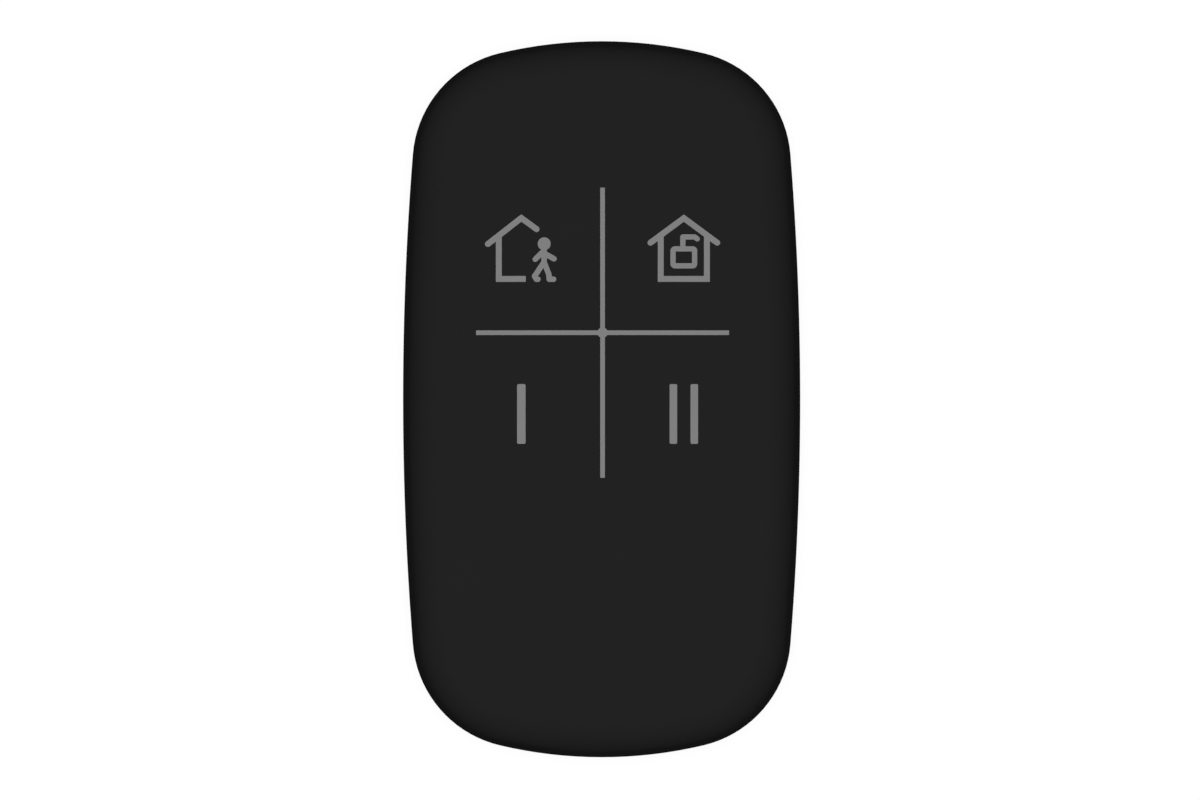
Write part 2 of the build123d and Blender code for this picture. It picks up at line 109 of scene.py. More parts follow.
studio = {
    "softboxSize": 1.2,
    "softboxHeight": 2.2,
    "softboxPower": 45.0,
    "worldStrength": 0.12,
    "floorSize": 6.0,
    "floorTone": "bcbcbc",
    "floorWhite": 1.165,
    "floorWhiteShare": 0.78,
}


# Linear colour of a screen tone, by the sRGB standard's own numbers
def srgb(hexCode):
    tones = [int(hexCode[place:place + 2], 16) / 255 for place in (0, 2, 4)]
    return [tone / 12.92 if tone <= 0.04045 else ((tone + 0.055) / 1.055) ** 2.4 for tone in tones] + [1]


def addNode(tree, kind, inputs=None, links=None, **settings):
    node = tree.nodes.new(kind)
    for name, value in settings.items():
        setattr(node, name, value)
    for name, value in (inputs or {}).items():
        node.inputs[name].default_value = value
    for name, source in (links or {}).items():
        tree.links.new(source, node.inputs[name])
    return node


# 1 where the eye sees a surface straight on, in a gloss or through something clear, otherwise 0
def seenDirectly(tree):
    path = addNode(tree, "ShaderNodeLightPath")
    either = addNode(tree, "ShaderNodeMath", operation="MAXIMUM",
                     links={0: path.outputs["Is Camera Ray"], 1: path.outputs["Is Glossy Ray"]})
    return addNode(tree, "ShaderNodeMath", operation="MAXIMUM",
                   links={0: either.outputs[0], 1: path.outputs["Is Transmission Ray"]})


def lightStudio(setup):
    bpy.ops.object.light_add(type="AREA", location=(0, 0, setup["softboxHeight"]))
    softbox = bpy.context.object
    softbox.name = "softbox"
    softbox.data.shape = "DISK"
    softbox.data.size = setup["softboxSize"]
    softbox.data.energy = setup["softboxPower"]
    world = bpy.data.worlds.new("studioWorld")
    world.use_nodes = True
    bpy.context.scene.world = world
    tree = world.node_tree
    tree.nodes.clear()
    seen = seenDirectly(tree)
    dim = addNode(tree, "ShaderNodeBackground",
                  {"Color": (1, 1, 1, 1), "Strength": setup["worldStrength"]})
    white = addNode(tree, "ShaderNodeBackground", {"Color": (1, 1, 1, 1), "Strength": 1})
    mixed = addNode(tree, "ShaderNodeMixShader",
                    links={0: seen.outputs[0], 1: dim.outputs[0], 2: white.outputs[0]})
    addNode(tree, "ShaderNodeOutputWorld", links={"Surface": mixed.outputs[0]})


def layFloor(setup):
    selectNothing()
    bpy.ops.mesh.primitive_plane_add(size=setup["floorSize"], location=(0, 0, 0))
    floor = bpy.context.object
    floor.name = "floor"
    material = bpy.data.materials.new("paleFloor")
    material.use_nodes = True
    tree = material.node_tree
    tree.nodes.clear()
    paint = addNode(tree, "ShaderNodeBsdfDiffuse", {"Color": srgb(setup["floorTone"])})
    glow = addNode(tree, "ShaderNodeEmission", {"Color": (1, 1, 1, 1), "Strength": setup["floorWhite"]})
    seen = seenDirectly(tree)
    share = addNode(tree, "ShaderNodeMath", {1: setup["floorWhiteShare"]}, {0: seen.outputs[0]},
                    operation="MULTIPLY")
    mixed = addNode(tree, "ShaderNodeMixShader",
                    links={0: share.outputs[0], 1: paint.outputs[0], 2: glow.outputs[0]})
    addNode(tree, "ShaderNodeOutputMaterial", links={"Surface": mixed.outputs[0]})
    floor.data.materials.append(material)


lightStudio(studio)
layFloor(studio)
print("studio lit")


# Materials, each named for the real one

def startMaterial(name):
    material = bpy.data.materials.new(name)
    material.use_nodes = True
    tree = material.node_tree
    tree.nodes.clear()
    place = addNode(tree, "ShaderNodeTexCoord").outputs["Object"]
    return material, tree, place


def endMaterial(tree, surface):
    addNode(tree, "ShaderNodeOutputMaterial", links={"Surface": surface.outputs[0]})


def grainScale(size):
    return 1 / (size * mm)  # one noise cell for each grain


softTouchLook = {
    "tones": ("212121", "232323"),
    "patch": 9.0,
    "grain": 0.28,
    "grainHeight": 0.004,
    "patchDetail": 2.0,
    "grainDetail": 3.0,
    "relief": 0.35,
    "roughness": (0.7, 0.8),
    "ior": 1.47,
    "specular": 0.0,
}


def softTouchRubber(look):
    # Soft-touch elastomer: nearly no gloss, so the face stays even and the rolled rim goes dark.
    material, tree, place = startMaterial("softTouchRubber")
    patch = addNode(tree, "ShaderNodeTexNoise",
                    {"Scale": grainScale(look["patch"]), "Detail": look["patchDetail"]},
                    {"Vector": place})
    # The real bloom of the moulding is finer than a pixel, so the grain is drawn coarse enough to show.
    grain = addNode(tree, "ShaderNodeTexNoise",
                    {"Scale": grainScale(look["grain"]), "Detail": look["grainDetail"]},
                    {"Vector": place})
    tone = addNode(tree, "ShaderNodeMix", {6: srgb(look["tones"][0]), 7: srgb(look["tones"][1])},
                   {"Factor": patch.outputs["Fac"]}, data_type="RGBA")
    rough = addNode(tree, "ShaderNodeMapRange",
                    {"To Min": look["roughness"][0], "To Max": look["roughness"][1]},
                    {"Value": grain.outputs["Fac"]})
    relief = addNode(tree, "ShaderNodeBump",
                     {"Strength": look["relief"], "Distance": look["grainHeight"] * mm},
                     {"Height": grain.outputs["Fac"]})
    surface = addNode(tree, "ShaderNodeBsdfPrincipled",
                      {"IOR": look["ior"], "Specular IOR Level": look["specular"]},
                      {"Base Color": tone.outputs[2], "Roughness": rough.outputs["Result"],
                       "Normal": relief.outputs["Normal"]})
    endMaterial(tree, surface)
    return material


# Moulded plastics: a tool's eroded texture in the surface, a little tone change from flow
mouldedLooks = {
    # ABS, moulded in a spark-eroded tool: matt black, an even fine pitting, a soft sheen along its curves
    "mouldedAbs": {"tones": ("161617", "1b1b1c"), "grain": 0.4, "height": 0.02,
                   "roughness": (0.5, 0.62), "specular": 0.15},
    # Nylon, moulded: black and a little waxy, smoother than the shell
    "blackNylon": {"tones": ("1c1c1c", "222222"), "grain": 0.5, "height": 0.006,
                   "roughness": (0.42, 0.55), "specular": 0.45},
    # Glass-filled nylon, moulded: dark grey, dulled and roughened by fibres at its surface
    "glassFilledFrame": {"tones": ("262627", "2e2e2f"), "grain": 0.7, "height": 0.008,
                         "roughness": (0.5, 0.65), "specular": 0.45},
    # ABS, moulded in a plain tool: a clean dark grey that tells the keys from the frame
    "darkKeyAbs": {"tones": ("38383a", "3e3e40"), "grain": 0.6, "height": 0.005,
                   "roughness": (0.4, 0.5), "specular": 0.5},
    # Acetal, moulded: milky pale grey with a slippery low gloss
    "paleAcetal": {"tones": ("c4c2ba", "cfcdc6"), "grain": 0.6, "height": 0.003,
                   "roughness": (0.3, 0.4), "specular": 0.5},
    # Nylon without pigment, moulded: a dull yellowish grey ring between the cell's two bright parts
    "naturalNylon": {"tones": ("a9a79c", "b6b4aa"), "grain": 0.5, "height": 0.003,
                     "roughness": (0.4, 0.5), "specular": 0.5},
    # Epoxy with silica, moulded round the chip: dead black with a sandy grain
    "epoxyResin": {"tones": ("17181a", "1f2022"), "grain": 0.15, "height": 0.006,
                   "roughness": (0.5, 0.65), "specular": 0.45},
    # Ceramic under glass, fired: black with small sharp glints
    "glazedResistor": {"tones": ("1b1b1e", "26262a"), "grain": 0.2, "height": 0.002,
                       "roughness": (0.2, 0.35), "specular": 0.5},
    # Ceramic, sintered: chalky tan with darker grains
    "firedCeramic": {"tones": ("a17b56", "b08a63"), "grain": 0.12, "height": 0.003,
                     "roughness": (0.4, 0.55), "specular": 0.5},
    # Ink, pad-printed: flat mid grey with crisp edges, hardly any gloss
    "printedInk": {"tones": ("797979", "7e7e7e"), "grain": 0.22, "height": 0.002,
                   "roughness": (0.6, 0.7), "specular": 0.08},
}
# What all moulded plastics share: size of flow marks in grains, their detail, relief, refraction
mouldedSurface = {"grainsPerFlow": 12, "flowDetail": 3.0, "relief": 0.6, "ior": 1.5}


def mouldedPlastic(name, look):
    material, tree, place = startMaterial(name)
    flow = addNode(tree, "ShaderNodeTexNoise",
                   {"Scale": grainScale(mouldedSurface["grainsPerFlow"] * look["grain"]),
                    "Detail": mouldedSurface["flowDetail"]}, {"Vector": place})
    pits = addNode(tree, "ShaderNodeTexVoronoi", {"Scale": grainScale(look["grain"])},
                   {"Vector": place}, feature="SMOOTH_F1")
    tone = addNode(tree, "ShaderNodeMix", {6: srgb(look["tones"][0]), 7: srgb(look["tones"][1])},
                   {"Factor": flow.outputs["Fac"]}, data_type="RGBA")
    rough = addNode(tree, "ShaderNodeMapRange",
                    {"To Min": look["roughness"][0], "To Max": look["roughness"][1]},
                    {"Value": pits.outputs["Distance"]})
    relief = addNode(tree, "ShaderNodeBump",
                     {"Strength": mouldedSurface["relief"], "Distance": look["height"] * mm},
                     {"Height": pits.outputs["Distance"]})
    surface = addNode(tree, "ShaderNodeBsdfPrincipled",
                      {"IOR": mouldedSurface["ior"], "Specular IOR Level": look["specular"]},
                      {"Base Color": tone.outputs[2], "Roughness": rough.outputs["Result"],
                       "Normal": relief.outputs["Normal"]})
    endMaterial(tree, surface)
    return material


# Metals: the grain of rolling or turning runs one way, set by how much each axis is stretched
metalLooks = {
    # Stainless steel, turned: bright, with fine rings that stretch each glint across the bar
    "turnedStainless": {"tones": ("a9a9a6", "c4c4c1"), "line": 0.12, "stretch": (1, 0.05, 0.05),
                        "roughness": (0.22, 0.36)},
    # Stainless steel, drawn and nickel-plated: warm silver with faint drawing lines
    "nickelledCellCan": {"tones": ("b4b3ae", "c9c8c4"), "line": 0.16, "stretch": (1, 0.08, 1),
                         "roughness": (0.2, 0.34)},
    # Phosphor bronze, stamped and nickel-plated: silver with the bronze's yellow under it
    "nickelledBronze": {"tones": ("b9ab8f", "cdbfa4"), "line": 0.14, "stretch": (0.08, 1, 1),
                        "roughness": (0.24, 0.36)},
    # Spring steel, rolled: the smoothest and brightest of the metals here
    "rolledSpringSteel": {"tones": ("b5b5b2", "cccccb"), "line": 0.1, "stretch": (0.1, 1, 1),
                          "roughness": (0.18, 0.3)},
    # Steel, tin-plated: cold pale grey with a soft, cloudy gloss
    "tinnedSteel": {"tones": ("b0b1b1", "c2c3c3"), "line": 0.2, "stretch": (1, 0.2, 1),
                    "roughness": (0.3, 0.42)},
    # Nickel-iron lid, plated and seam-welded: warm silver, satin
    "crystalLid": {"tones": ("b6b1a4", "c8c3b6"), "line": 0.12, "stretch": (1, 0.15, 1),
                   "roughness": (0.25, 0.36)},
    # Steel, zinc-plated and blackened: dark grey metal that still glints on its edges
    "blackZincSteel": {"tones": ("252628", "333437"), "line": 0.12, "stretch": (1, 1, 0.2),
                       "roughness": (0.34, 0.5)},
}
# What all worked metals share: detail, relief and depth of the worked lines
metalSurface = {"lineDetail": 4.0, "relief": 0.25, "lineDepth": 0.002}


def workedMetal(name, look):
    material, tree, place = startMaterial(name)
    across = addNode(tree, "ShaderNodeMapping", {"Scale": look["stretch"]}, {"Vector": place})
    lines = addNode(tree, "ShaderNodeTexNoise",
                    {"Scale": grainScale(look["line"]), "Detail": metalSurface["lineDetail"]},
                    {"Vector": across.outputs["Vector"]})
    tone = addNode(tree, "ShaderNodeMix", {6: srgb(look["tones"][0]), 7: srgb(look["tones"][1])},
                   {"Factor": lines.outputs["Fac"]}, data_type="RGBA")
    rough = addNode(tree, "ShaderNodeMapRange",
                    {"To Min": look["roughness"][0], "To Max": look["roughness"][1]},
                    {"Value": lines.outputs["Fac"]})
    relief = addNode(tree, "ShaderNodeBump",
                     {"Strength": metalSurface["relief"], "Distance": metalSurface["lineDepth"] * mm},
                     {"Height": lines.outputs["Fac"]})
    surface = addNode(tree, "ShaderNodeBsdfPrincipled", {"Metallic": 1.0},
                      {"Base Color": tone.outputs[2], "Roughness": rough.outputs["Result"],
                       "Normal": relief.outputs["Normal"]})
    endMaterial(tree, surface)
    return material


boardLook = {
    "mask": "12402a",
    "track": "1c5a3a",
    "trackPitch": 1.1,
    "waveFactor": 20,  # the wave texture multiplies its own scale by this
    "trackTurns": 6.0,
    "trackDetail": 1.0,
    "trackDetailScale": 0.4,
    "trackEdge": (0.62, 0.7),
    "trackHeight": 0.02,
    "weave": 0.6,
    "weaveHeightShare": 0.15,
    "relief": 0.4,
    "roughness": 0.32,
    "ior": 1.52,
    "coat": 0.3,
}


def solderMaskedLaminate(look):
    # Green mask over copper tracks and glass weave: the tracks show as paler, slightly raised lines.
    material, tree, place = startMaterial("solderMaskedLaminate")
    tracks = addNode(tree, "ShaderNodeTexWave",
                     {"Scale": grainScale(look["trackPitch"]) / look["waveFactor"],
                      "Distortion": look["trackTurns"], "Detail": look["trackDetail"],
                      "Detail Scale": look["trackDetailScale"]}, {"Vector": place})
    edge = addNode(tree, "ShaderNodeMapRange",
                   {"From Min": look["trackEdge"][0], "From Max": look["trackEdge"][1]},
                   {"Value": tracks.outputs["Fac"]})
    weave = addNode(tree, "ShaderNodeTexChecker", {"Scale": grainScale(look["weave"])},
                    {"Vector": place})
    tone = addNode(tree, "ShaderNodeMix", {6: srgb(look["mask"]), 7: srgb(look["track"])},
                   {"Factor": edge.outputs["Result"]}, data_type="RGBA")
    height = addNode(tree, "ShaderNodeMath", {2: look["weaveHeightShare"]},
                     {0: weave.outputs["Fac"], 1: edge.outputs["Result"]}, operation="MULTIPLY_ADD")
    relief = addNode(tree, "ShaderNodeBump",
                     {"Strength": look["relief"], "Distance": look["trackHeight"] * mm},
                     {"Height": height.outputs[0]})
    surface = addNode(tree, "ShaderNodeBsdfPrincipled",
                      {"IOR": look["ior"], "Roughness": look["roughness"], "Coat Weight": look["coat"]},
                      {"Base Color": tone.outputs[2], "Normal": relief.outputs["Normal"]})
    endMaterial(tree, surface)
    return material


guideLook = {"tone": "f2f6f7", "roughness": 0.12, "ripple": 0.8, "rippleHeight": 0.01, "relief": 0.2,
             "ior": 1.49, "clear": 0.9}


def clearAcrylic(look):
    # Moulded acrylic: clear, with faint ripples from the gate.
    material, tree, place = startMaterial("clearAcrylic")
    ripple = addNode(tree, "ShaderNodeTexNoise", {"Scale": grainScale(look["ripple"])},
                     {"Vector": place})
    relief = addNode(tree, "ShaderNodeBump",
                     {"Strength": look["relief"], "Distance": look["rippleHeight"] * mm},
                     {"Height": ripple.outputs["Fac"]})
    surface = addNode(tree, "ShaderNodeBsdfPrincipled",
                      {"Base Color": srgb(look["tone"]), "IOR": look["ior"],
                       "Roughness": look["roughness"], "Transmission Weight": look["clear"]},
                      {"Normal": relief.outputs["Normal"]})
    endMaterial(tree, surface)
    return material


lampLook = {"lens": "efe9cf", "core": "d8c890", "coreSize": 0.5, "roughness": 0.18, "ior": 1.53,
            "clear": 0.3}


def lampResin(look):
    # Cast resin over a phosphor dot: milky, with a yellower middle.
    material, tree, place = startMaterial("lampResin")
    cloud = addNode(tree, "ShaderNodeTexNoise", {"Scale": grainScale(look["coreSize"])},
                    {"Vector": place})
    tone = addNode(tree, "ShaderNodeMix", {6: srgb(look["lens"]), 7: srgb(look["core"])},
                   {"Factor": cloud.outputs["Fac"]}, data_type="RGBA")
    surface = addNode(tree, "ShaderNodeBsdfPrincipled",
                      {"IOR": look["ior"], "Roughness": look["roughness"],
                       "Transmission Weight": look["clear"]},
                      {"Base Color": tone.outputs[2]})
    endMaterial(tree, surface)
    return material


# The pore tone is painted shade at the bottom of each pore; the wall tone is the foam's own colour
foamLook = {"wall": "3a3a3b", "poreShade": "161616", "poreSize": 0.35, "poreDepth": 0.12, "relief": 0.8,
            "roughness": 0.9, "ior": 1.45, "specular": 0.2}


def closedCellFoam(look):
    # Closed-cell foam: round pores in a matt skin, with painted shade darkening each pore towards its
    # middle.
    material, tree, place = startMaterial("closedCellFoam")
    pores = addNode(tree, "ShaderNodeTexVoronoi", {"Scale": grainScale(look["poreSize"])},
                    {"Vector": place})
    # Painted shade: the tone darkens towards each pore's middle, where the bump sinks it
    tone = addNode(tree, "ShaderNodeMix", {6: srgb(look["poreShade"]), 7: srgb(look["wall"])},
                   {"Factor": pores.outputs["Distance"]}, data_type="RGBA")
    relief = addNode(tree, "ShaderNodeBump",
                     {"Strength": look["relief"], "Distance": look["poreDepth"] * mm},
                     {"Height": pores.outputs["Distance"]})
    surface = addNode(tree, "ShaderNodeBsdfPrincipled",
                      {"IOR": look["ior"], "Roughness": look["roughness"],
                       "Specular IOR Level": look["specular"]},
                      {"Base Color": tone.outputs[2], "Normal": relief.outputs["Normal"]})
    endMaterial(tree, surface)
    return material


moulded = {name: mouldedPlastic(name, look) for name, look in mouldedLooks.items()}
metals = {name: workedMetal(name, look) for name, look in metalLooks.items()}
finishes = {
    "soft_touch_skin": softTouchRubber(softTouchLook),
    "grey_mark": moulded["printedInk"],
    "inner_plastic": moulded["glassFilledFrame"],
    "key_plastic": moulded["darkKeyAbs"],
    "shell_plastic": moulded["mouldedAbs"],
    "clear_guide": clearAcrylic(guideLook),
    "board_laminate": solderMaskedLaminate(boardLook),
    "chip_resin": moulded["epoxyResin"],
    "crystal_can": metals["crystalLid"],
    "resistor_ceramic": moulded["glazedResistor"],
    "capacitor_ceramic": moulded["firedCeramic"],
    "lamp_resin": lampResin(lampLook),
    "contact_metal": metals["nickelledBronze"],
    "cell_steel": metals["nickelledCellCan"],
    "seal_nylon": moulded["naturalNylon"],
    "bar_steel": metals["turnedStainless"],
    "screw_steel": metals["blackZincSteel"],
    "foam_pad": closedCellFoam(foamLook),
    "switch_plastic": moulded["blackNylon"],
    "stem_plastic": moulded["paleAcetal"],
    "dome_steel": metals["rolledSpringSteel"],
    "cover_steel": metals["tinnedSteel"],
}
for entry in frame["record"]["subparts"]:
    node = frame["nodes"][entry["node"]]
    node.data.materials.clear()
    node.data.materials.append(finishes[entry["material_slot"]])
print("materials made")


# Soft skin: walls, rolled rim and crowned face on the outline's arcs, with the zone over each key cut
# into a pad that rides on the key and four side strips

skinForm = {
    "sideRadius": 266.0,
    "endRadius": 38.3,
    "cornerRadius": 9.8,
    "crownAcross": 230.0,
    "crownAlong": 700.0,
    "draft": 7.0,
    "rimRound": 3.2,
    "edgeRound": 0.15,
    "wall": 0.4,  # the moulded skin's least wall, over the rolled rim
    "sunk": 0.03,  # the face lies this far under the marks, which stand proud as printed ink does
    "sideSteps": 12,
    "cornerSteps": 18,
    "endSteps": 8,
    "rimSteps": 12,
    "settlePasses": 3,
    "slopeStep": 0.5,
    "gridPitch": 1.1,
    "flexWidth": 1.5,
    "flexMargin": 0.3,
    "smoothAngle": 35,
}
skinLow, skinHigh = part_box("face_skin")
keyBoxes = {key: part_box("key_" + key) for key in keyNames}
cutTolerance = 1e-6  # metres; cuts that meet within it share their corners
placeDigits = 7  # decimals of a metre that two cuts share when they are the same cut
quadCorners = 4


# Points along an arc, its last one left to the next arc
def arcPoints(centre, radius, start, end, steps):
    turns = [start + (end - start) * step / steps for step in range(steps)]
    return [(centre + Vector((math.cos(turn), math.sin(turn), 0)) * radius,
             Vector((math.cos(turn), math.sin(turn), 0))) for turn in turns]


# Points of the closed outline with their outward directions, from +X round by +Y
def outlineRing(form):
    halfWidth = (skinHigh.x - skinLow.x) / 2
    halfLength = (skinHigh.y - skinLow.y) / 2
    sideRadius = form["sideRadius"] * mm
    endRadius = form["endRadius"] * mm
    cornerRadius = form["cornerRadius"] * mm
    side = Vector((halfWidth - sideRadius, 0, 0))
    end = Vector((0, halfLength - endRadius, 0))
    span = (end - side).length
    along = ((sideRadius - cornerRadius) ** 2 - (endRadius - cornerRadius) ** 2 + span ** 2) / (2 * span)
    away = math.sqrt((sideRadius - cornerRadius) ** 2 - along ** 2)
    run = (end - side).normalized()
    corner = side + run * along + Vector((-run.y, run.x, 0)) * away
    sideTurn = math.atan2(corner.y - side.y, corner.x - side.x)
    endTurn = math.atan2(corner.y - end.y, corner.x - end.x)
    upright = math.pi / 2
    quarter = arcPoints(side, sideRadius, 0, sideTurn, form["sideSteps"])
    quarter += arcPoints(corner, cornerRadius, sideTurn, endTurn, form["cornerSteps"])
    quarter += arcPoints(end, endRadius, endTurn, upright, form["endSteps"])
    top = (Vector((0, halfLength, 0)), Vector((0, 1, 0)))

    def mirrored(pair, signX, signY):
        return tuple(Vector((part.x * signX, part.y * signY, 0)) for part in pair)

    second = [mirrored(pair, -1, 1) for pair in reversed(quarter)]
    upper = quarter + [top] + second
    lower = [mirrored(pair, 1, -1) for pair in reversed(upper[1:-1])]
    return upper + lower


# Height of the crowned face over a place, as in the frame
def crownHeight(form, x, y):
    acrossRadius = form["crownAcross"] * mm
    alongRadius = form["crownAlong"] * mm
    reach = alongRadius - acrossRadius + math.sqrt(acrossRadius ** 2 - x ** 2)
    return skinTop(form) - alongRadius + math.sqrt(reach ** 2 - y ** 2)


def skinTop(form):
    return skinHigh.z - form["sunk"] * mm


# One ring of the rolled rim: rise runs from 0 at the wall to 1 at the face
def rimRing(form, ring, rise):
    draft = math.radians(form["draft"])
    rounding = form["rimRound"] * mm
    points = []
    for place, outward in ring:
        inset = rounding
        for _ in range(form["settlePasses"]):  # the roll's centre settles between the wall and the face
            middle = place - outward * inset
            centreZ = crownHeight(form, middle.x, middle.y) - rounding
            inset = (rounding + (centreZ - skinLow.z) * math.sin(draft)) / math.cos(draft)
        beyond = middle + outward * form["slopeStep"] * mm
        drop = crownHeight(form, middle.x, middle.y) - crownHeight(form, beyond.x, beyond.y)
        last = math.pi / 2 - math.atan2(drop, form["slopeStep"] * mm)
        turn = draft + (last - draft) * rise
        reach = place - outward * (inset - rounding * math.cos(turn))
        points.append(Vector((reach.x, reach.y, centreZ + rounding * math.sin(turn))))
    return points


# Extrudes the selected loop and moves it onto the next ring's points
def extrudeRing(points):
    bpy.ops.mesh.extrude_edges_move()
    mesh = bpy.context.edit_object.data
    shape = bmesh.from_edit_mesh(mesh)
    order = shape.verts.layers.int["order"]
    for vert in shape.verts:
        if vert.select:
            vert.co = points[vert[order]]
    bmesh.update_edit_mesh(mesh)


# A circle of edges moved onto a ring's points, each remembering its place in the ring
def startLoop(name, points):
    selectNothing()
    bpy.ops.mesh.primitive_circle_add(vertices=len(points), radius=points[0].length)
    piece = bpy.context.object
    piece.name = name
    bpy.ops.object.mode_set(mode="EDIT")
    shape = bmesh.from_edit_mesh(piece.data)
    order = shape.verts.layers.int.new("order")
    for number, vert in enumerate(shape.verts):
        vert[order] = number
        vert.co = points[number]
    bmesh.update_edit_mesh(piece.data)
    bpy.ops.mesh.select_all(action="SELECT")
    return piece


# Selects the faces of the cap for which where() is true
def selectCap(where):
    bpy.ops.mesh.select_all(action="DESELECT")
    mesh = bpy.context.edit_object.data
    shape = bmesh.from_edit_mesh(mesh)
    cap = shape.faces.layers.int["cap"]
    for face in shape.faces:
        if face[cap] and where(face.calc_center_median()):
            face.select = True
    bmesh.update_edit_mesh(mesh)


# Cuts faces of the cap along the upright plane through a place, facing a direction
def cutCap(where, place, direction):
    selectCap(where)
    bpy.ops.mesh.bisect(plane_co=place, plane_no=direction, threshold=cutTolerance)


# Outer and inner rectangle of each key's flexible zone, as (low x, low y, high x, high y)
def flexZones(form):
    margin = form["flexMargin"] * mm
    flex = form["flexWidth"] * mm
    zones = {}
    for key, (low, high) in keyBoxes.items():
        outer = (low.x - margin, low.y - margin, high.x + margin, high.y + margin)
        inner = (outer[0] + flex, outer[1] + flex, outer[2] - flex, outer[3] - flex)
        zones[key] = (outer, inner)
    return zones


# Cuts between the first and last stop, through every stop, no further apart than the pitch
def gridLines(stops, pitch):
    lines = []
    for low, high in zip(stops, stops[1:]):
        count = max(1, math.ceil((high - low) / pitch))
        lines += [low + (high - low) * step / count for step in range(count)]
    return lines[1:]


def makeSkin(form):
    ring = outlineRing(form)
    edge = form["edgeRound"] * mm
    wallLow = [place - outward * edge + Vector((0, 0, skinLow.z)) for place, outward in ring]
    wallEdge = [place + Vector((0, 0, skinLow.z + edge)) for place, outward in ring]
    skin = startLoop("skin_body", wallLow)
    extrudeRing(wallEdge)
    for step in range(form["rimSteps"] + 1):
        extrudeRing(rimRing(form, ring, step / form["rimSteps"]))
    bpy.ops.mesh.edge_face_add()
    mesh = skin.data
    shape = bmesh.from_edit_mesh(mesh)
    cap = shape.faces.layers.int.new("cap")
    for face in shape.faces:
        face[cap] = len(face.verts) > quadCorners
    bmesh.update_edit_mesh(mesh)
    zones = flexZones(form)
    for number, direction in enumerate((Vector((1, 0, 0)), Vector((0, 1, 0)))):
        halfSpan = (skinHigh[number] - skinLow[number]) / 2 - form["rimRound"] * mm
        stops = {-halfSpan, halfSpan}
        for outer, inner in zones.values():
            sides = [rect[side] for rect in (outer, inner) for side in (number, number + 2)]
            stops |= {round(side, placeDigits) for side in sides}
        for line in gridLines(sorted(stops), form["gridPitch"] * mm):
            cutCap(lambda centre: True, direction * line, direction)
    for outer, inner in zones.values():
        for cornerX, innerX in ((outer[0], inner[0]), (outer[2], inner[2])):
            for cornerY, innerY in ((outer[1], inner[1]), (outer[3], inner[3])):
                lowX, highX = sorted((cornerX, innerX))
                lowY, highY = sorted((cornerY, innerY))
                inCorner = lambda centre: lowX < centre.x < highX and lowY < centre.y < highY
                slant = Vector((innerY - cornerY, cornerX - innerX, 0)).normalized()
                cutCap(inCorner, Vector((cornerX, cornerY, 0)), slant)
    shape = bmesh.from_edit_mesh(mesh)
    cap = shape.faces.layers.int["cap"]
    for face in shape.faces:
        if face[cap]:
            for vert in face.verts:
                vert.co.z = crownHeight(form, vert.co.x, vert.co.y)
    bmesh.update_edit_mesh(mesh)
    bpy.ops.mesh.select_all(action="SELECT")
    bpy.ops.mesh.normals_make_consistent(inside=False)
    bpy.ops.object.mode_set(mode="OBJECT")
    return skin, zones


# Takes the faces for which where() is true off the skin, as a piece of its own
def separateFaces(skin, name, where):
    activate(skin)
    bpy.ops.object.mode_set(mode="EDIT")
    selectCap(where)
    bpy.ops.mesh.separate(type="SELECTED")
    bpy.ops.object.mode_set(mode="OBJECT")
    piece = [found for found in bpy.context.selected_objects if found is not skin][0]
    piece.name = name
    return piece


# Each side strip of a key's zone: a test for its faces, and where its bend starts and ends
def flexSides(outer, inner):
    midX, midY = (outer[0] + outer[2]) / 2, (outer[1] + outer[3]) / 2

    def nearest(centre):
        gaps = {"left": centre.x - outer[0], "right": outer[2] - centre.x,
                "lower": centre.y - outer[1], "upper": outer[3] - centre.y}
        return min(gaps, key=gaps.get)

    ends = {
        "left": ((outer[0], midY), (inner[0], midY)),
        "right": ((outer[2], midY), (inner[2], midY)),
        "lower": ((midX, outer[1]), (midX, inner[1])),
        "upper": ((midX, outer[3]), (midX, inner[3])),
    }
    return nearest, ends


def within(rect, centre):
    return rect[0] < centre.x < rect[2] and rect[1] < centre.y < rect[3]


def dressPiece(piece, slotName, *nodes):
    piece.data.materials.clear()
    piece.data.materials.append(finishes[slotName])
    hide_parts(*nodes)


def finishSkinPiece(piece, form):
    activate(piece)
    thick = piece.modifiers.new("thickness", "SOLIDIFY")
    thick.thickness = form["wall"] * mm
    thick.offset = -1
    bpy.ops.object.modifier_apply(modifier="thickness")
    bpy.ops.object.shade_smooth_by_angle(angle=math.radians(form["smoothAngle"]))
    dressPiece(piece, "soft_touch_skin", "face_skin")


def dressSkin(form):
    skin, zones = makeSkin(form)
    for key, (outer, inner) in zones.items():
        pad = separateFaces(skin, "skin_pad_" + key, lambda centre: within(inner, centre))
        finishSkinPiece(pad, form)
        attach(pad, "key_" + key)
        nearest, ends = flexSides(outer, inner)
        for side, (start, end) in ends.items():
            inStrip = lambda centre: within(outer, centre) and nearest(centre) == side
            strip = separateFaces(skin, "skin_flex_" + key + "_" + side, inStrip)
            finishSkinPiece(strip, form)
            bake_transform(strip)
    finishSkinPiece(skin, form)
    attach(skin, "root")


dressSkin(skinForm)
print("skin made")


# Foam disc on the battery door, squeezed by the cell so that its edge bulges

foamPadForm = {
    "sides": 120,
    "bulge": 1.012,
    "edgeRound": 0.07,
    "edgeSteps": 3,
    "faceInset": 0.6,
    "nearFace": 0.1,  # an edge this far above or below the middle lies on a face
    "smoothAngle": 40,
}
levelTolerance = 1e-7  # metres between the ends of an edge that counts as level


